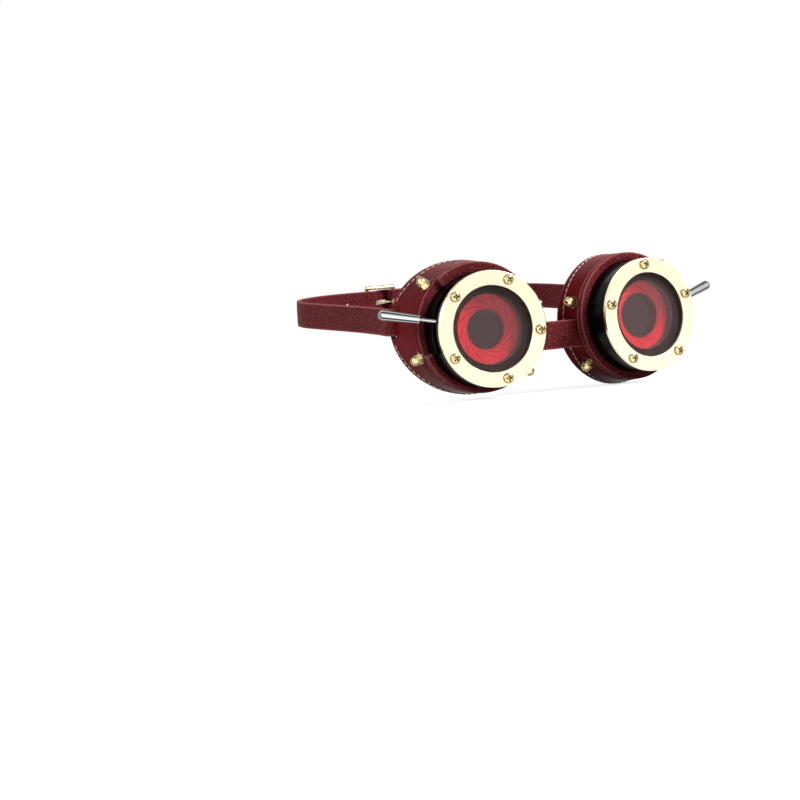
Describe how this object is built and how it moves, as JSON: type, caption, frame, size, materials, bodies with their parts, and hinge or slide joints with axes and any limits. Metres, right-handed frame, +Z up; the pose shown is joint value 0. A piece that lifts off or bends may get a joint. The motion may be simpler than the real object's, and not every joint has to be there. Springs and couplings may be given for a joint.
{
  "type": "steampunk goggles",
  "caption": "Leather steampunk goggles with deep eye cups, screwed bezels and a lever-worked iris behind each lens, on a buckled head strap.",
  "frame": {"origin": "middle of the bridge strap's rear face in width, level with the lens axes, where it rests on the bridge of the nose", "axes": "+X towards the wearer's left, +Y backwards into the head, +Z up; the lenses look along -Y, each turned a little outwards"},
  "size_m": [0.2112, 0.231, 0.0759],
  "materials": {
    "cup_leather": "glossy oxblood leather, smooth",
    "grain_leather": "matt grained oxblood leather",
    "black_metal": "gloss black",
    "dark_metal": "satin black",
    "pale_brass": "polished, pale gold",
    "gold_brass": "polished gold",
    "blade_red": "satin red",
    "lever_chrome": "polished",
    "lens_glass": "smoke tinted",
    "dark_glass": "welding shade",
    "gasket": "matt"
  },
  "bodies": {
    "frame": {"right_cup": "cup_leather", "right_lip": "grain_leather", "right_spacer_ring": "black_metal", "right_barrel": "black_metal", "right_bezel": "pale_brass", "right_lens_gasket": "gasket", "right_lens": "lens_glass", "right_iris_base": "dark_metal", "right_iris_retainer": "dark_metal", "left_cup": "cup_leather", "left_lip": "grain_leather", "left_spacer_ring": "black_metal", "left_barrel": "black_metal", "left_bezel": "pale_brass", "left_lens_gasket": "gasket", "left_lens": "lens_glass", "left_iris_base": "dark_metal", "left_iris_retainer": "dark_metal", "dark_glasses": "dark_glass", "bezel_screws": "gold_brass", "cup_bolts": "gold_brass", "nut_washers": "gold_brass", "cap_nuts": "gold_brass", "bridge_strap": "grain_leather", "strap_right": "grain_leather", "strap_left": "grain_leather", "strap_keeper": "grain_leather", "strap_rivets": "gold_brass", "buckle_frame": "gold_brass"},
    "right_iris_ring": {"right_iris_ring": "dark_metal", "right_lever": "lever_chrome", "right_lever_knob": "lever_chrome"},
    "left_iris_ring": {"left_iris_ring": "dark_metal", "left_lever": "lever_chrome", "left_lever_knob": "lever_chrome"},
    "right_blade_01": {"right_blade_01": "blade_red"},
    "right_blade_02": {"right_blade_02": "blade_red"},
    "right_blade_03": {"right_blade_03": "blade_red"},
    "right_blade_04": {"right_blade_04": "blade_red"},
    "right_blade_05": {"right_blade_05": "blade_red"},
    "right_blade_06": {"right_blade_06": "blade_red"},
    "right_blade_07": {"right_blade_07": "blade_red"},
    "right_blade_08": {"right_blade_08": "blade_red"},
    "right_blade_09": {"right_blade_09": "blade_red"},
    "right_blade_10": {"right_blade_10": "blade_red"},
    "right_blade_11": {"right_blade_11": "blade_red"},
    "right_blade_12": {"right_blade_12": "blade_red"},
    "left_blade_01": {"left_blade_01": "blade_red"},
    "left_blade_02": {"left_blade_02": "blade_red"},
    "left_blade_03": {"left_blade_03": "blade_red"},
    "left_blade_04": {"left_blade_04": "blade_red"},
    "left_blade_05": {"left_blade_05": "blade_red"},
    "left_blade_06": {"left_blade_06": "blade_red"},
    "left_blade_07": {"left_blade_07": "blade_red"},
    "left_blade_08": {"left_blade_08": "blade_red"},
    "left_blade_09": {"left_blade_09": "blade_red"},
    "left_blade_10": {"left_blade_10": "blade_red"},
    "left_blade_11": {"left_blade_11": "blade_red"},
    "left_blade_12": {"left_blade_12": "blade_red"},
    "buckle_prong": {"buckle_prong": "gold_brass"}
  },
  "joints": [
    {"name": "right_iris", "type": "hinge", "parent": "frame", "child": "right_iris_ring", "pos_m": [-0.0498, -0.02089, 0], "axis": [-0.0906, -0.9959, 0], "range_deg": [-38, 29]},
    {"name": "left_iris", "type": "hinge", "parent": "frame", "child": "left_iris_ring", "pos_m": [0.0498, -0.02089, 0], "axis": [0.0906, -0.9959, 0], "range_deg": [-30, 37]},
    {"name": "right_blade_01_turn", "type": "hinge", "parent": "frame", "child": "right_blade_01", "pos_m": [-0.02738, -0.01038, 0.00454], "axis": [-0.0906, -0.9959, 0], "range_deg": [-21.72, 16.58]},
    {"name": "right_blade_02_turn", "type": "hinge", "parent": "frame", "child": "right_blade_02", "pos_m": [-0.0325, -0.00992, 0.01462], "axis": [-0.0906, -0.9959, 0], "range_deg": [-21.72, 16.58]},
    {"name": "right_blade_03_turn", "type": "hinge", "parent": "frame", "child": "right_blade_03", "pos_m": [-0.04194, -0.00906, 0.02078], "axis": [-0.0906, -0.9959, 0], "range_deg": [-21.72, 16.58]},
    {"name": "right_blade_04_turn", "type": "hinge", "parent": "frame", "child": "right_blade_04", "pos_m": [-0.05319, -0.00803, 0.02137], "axis": [-0.0906, -0.9959, 0], "range_deg": [-21.72, 16.58]},
    {"name": "right_blade_05_turn", "type": "hinge", "parent": "frame", "child": "right_blade_05", "pos_m": [-0.06323, -0.00712, 0.01624], "axis": [-0.0906, -0.9959, 0], "range_deg": [-21.72, 16.58]},
    {"name": "right_blade_06_turn", "type": "hinge", "parent": "frame", "child": "right_blade_06", "pos_m": [-0.06936, -0.00656, 0.00675], "axis": [-0.0906, -0.9959, 0], "range_deg": [-21.72, 16.58]},
    {"name": "right_blade_07_turn", "type": "hinge", "parent": "frame", "child": "right_blade_07", "pos_m": [-0.06995, -0.00651, -0.00454], "axis": [-0.0906, -0.9959, 0], "range_deg": [-21.72, 16.58]},
    {"name": "right_blade_08_turn", "type": "hinge", "parent": "frame", "child": "right_blade_08", "pos_m": [-0.06484, -0.00697, -0.01462], "axis": [-0.0906, -0.9959, 0], "range_deg": [-21.72, 16.58]},
    {"name": "right_blade_09_turn", "type": "hinge", "parent": "frame", "child": "right_blade_09", "pos_m": [-0.05539, -0.00783, -0.02078], "axis": [-0.0906, -0.9959, 0], "range_deg": [-21.72, 16.58]},
    {"name": "right_blade_10_turn", "type": "hinge", "parent": "frame", "child": "right_blade_10", "pos_m": [-0.04414, -0.00886, -0.02137], "axis": [-0.0906, -0.9959, 0], "range_deg": [-21.72, 16.58]},
    {"name": "right_blade_11_turn", "type": "hinge", "parent": "frame", "child": "right_blade_11", "pos_m": [-0.03411, -0.00977, -0.01624], "axis": [-0.0906, -0.9959, 0], "range_deg": [-21.72, 16.58]},
    {"name": "right_blade_12_turn", "type": "hinge", "parent": "frame", "child": "right_blade_12", "pos_m": [-0.02797, -0.01033, -0.00675], "axis": [-0.0906, -0.9959, 0], "range_deg": [-21.72, 16.58]},
    {"name": "left_blade_01_turn", "type": "hinge", "parent": "frame", "child": "left_blade_01", "pos_m": [0.06995, -0.00651, 0.00454], "axis": [0.0906, -0.9959, 0], "range_deg": [-17.15, 21.15]},
    {"name": "left_blade_02_turn", "type": "hinge", "parent": "frame", "child": "left_blade_02", "pos_m": [0.06484, -0.00697, 0.01462], "axis": [0.0906, -0.9959, 0], "range_deg": [-17.15, 21.15]},
    {"name": "left_blade_03_turn", "type": "hinge", "parent": "frame", "child": "left_blade_03", "pos_m": [0.05539, -0.00783, 0.02078], "axis": [0.0906, -0.9959, 0], "range_deg": [-17.15, 21.15]},
    {"name": "left_blade_04_turn", "type": "hinge", "parent": "frame", "child": "left_blade_04", "pos_m": [0.04414, -0.00886, 0.02137], "axis": [0.0906, -0.9959, 0], "range_deg": [-17.15, 21.15]},
    {"name": "left_blade_05_turn", "type": "hinge", "parent": "frame", "child": "left_blade_05", "pos_m": [0.03411, -0.00977, 0.01624], "axis": [0.0906, -0.9959, 0], "range_deg": [-17.15, 21.15]},
    {"name": "left_blade_06_turn", "type": "hinge", "parent": "frame", "child": "left_blade_06", "pos_m": [0.02797, -0.01033, 0.00675], "axis": [0.0906, -0.9959, 0], "range_deg": [-17.15, 21.15]},
    {"name": "left_blade_07_turn", "type": "hinge", "parent": "frame", "child": "left_blade_07", "pos_m": [0.02738, -0.01038, -0.00454], "axis": [0.0906, -0.9959, 0], "range_deg": [-17.15, 21.15]},
    {"name": "left_blade_08_turn", "type": "hinge", "parent": "frame", "child": "left_blade_08", "pos_m": [0.0325, -0.00992, -0.01462], "axis": [0.0906, -0.9959, 0], "range_deg": [-17.15, 21.15]},
    {"name": "left_blade_09_turn", "type": "hinge", "parent": "frame", "child": "left_blade_09", "pos_m": [0.04194, -0.00906, -0.02078], "axis": [0.0906, -0.9959, 0], "range_deg": [-17.15, 21.15]},
    {"name": "left_blade_10_turn", "type": "hinge", "parent": "frame", "child": "left_blade_10", "pos_m": [0.05319, -0.00803, -0.02137], "axis": [0.0906, -0.9959, 0], "range_deg": [-17.15, 21.15]},
    {"name": "left_blade_11_turn", "type": "hinge", "parent": "frame", "child": "left_blade_11", "pos_m": [0.06323, -0.00712, -0.01624], "axis": [0.0906, -0.9959, 0], "range_deg": [-17.15, 21.15]},
    {"name": "left_blade_12_turn", "type": "hinge", "parent": "frame", "child": "left_blade_12", "pos_m": [0.06936, -0.00656, -0.00675], "axis": [0.0906, -0.9959, 0], "range_deg": [-17.15, 21.15]},
    {"name": "buckle_prong_lift", "type": "hinge", "parent": "frame", "child": "buckle_prong", "pos_m": [0.009, 0.1997, 0.02157], "axis": [0, 0.0802, -0.9968], "range_deg": [0, 12]}
  ],
  "couplings": [
    {"joint": "right_blade_01_turn", "follows": "right_iris", "ratio": 0.57143},
    {"joint": "right_blade_02_turn", "follows": "right_iris", "ratio": 0.57143},
    {"joint": "right_blade_03_turn", "follows": "right_iris", "ratio": 0.57143},
    {"joint": "right_blade_04_turn", "follows": "right_iris", "ratio": 0.57143},
    {"joint": "right_blade_05_turn", "follows": "right_iris", "ratio": 0.57143},
    {"joint": "right_blade_06_turn", "follows": "right_iris", "ratio": 0.57143},
    {"joint": "right_blade_07_turn", "follows": "right_iris", "ratio": 0.57143},
    {"joint": "right_blade_08_turn", "follows": "right_iris", "ratio": 0.57143},
    {"joint": "right_blade_09_turn", "follows": "right_iris", "ratio": 0.57143},
    {"joint": "right_blade_10_turn", "follows": "right_iris", "ratio": 0.57143},
    {"joint": "right_blade_11_turn", "follows": "right_iris", "ratio": 0.57143},
    {"joint": "right_blade_12_turn", "follows": "right_iris", "ratio": 0.57143},
    {"joint": "left_blade_01_turn", "follows": "left_iris", "ratio": 0.57143},
    {"joint": "left_blade_02_turn", "follows": "left_iris", "ratio": 0.57143},
    {"joint": "left_blade_03_turn", "follows": "left_iris", "ratio": 0.57143},
    {"joint": "left_blade_04_turn", "follows": "left_iris", "ratio": 0.57143},
    {"joint": "left_blade_05_turn", "follows": "left_iris", "ratio": 0.57143},
    {"joint": "left_blade_06_turn", "follows": "left_iris", "ratio": 0.57143},
    {"joint": "left_blade_07_turn", "follows": "left_iris", "ratio": 0.57143},
    {"joint": "left_blade_08_turn", "follows": "left_iris", "ratio": 0.57143},
    {"joint": "left_blade_09_turn", "follows": "left_iris", "ratio": 0.57143},
    {"joint": "left_blade_10_turn", "follows": "left_iris", "ratio": 0.57143},
    {"joint": "left_blade_11_turn", "follows": "left_iris", "ratio": 0.57143},
    {"joint": "left_blade_12_turn", "follows": "left_iris", "ratio": 0.57143}
  ]
}
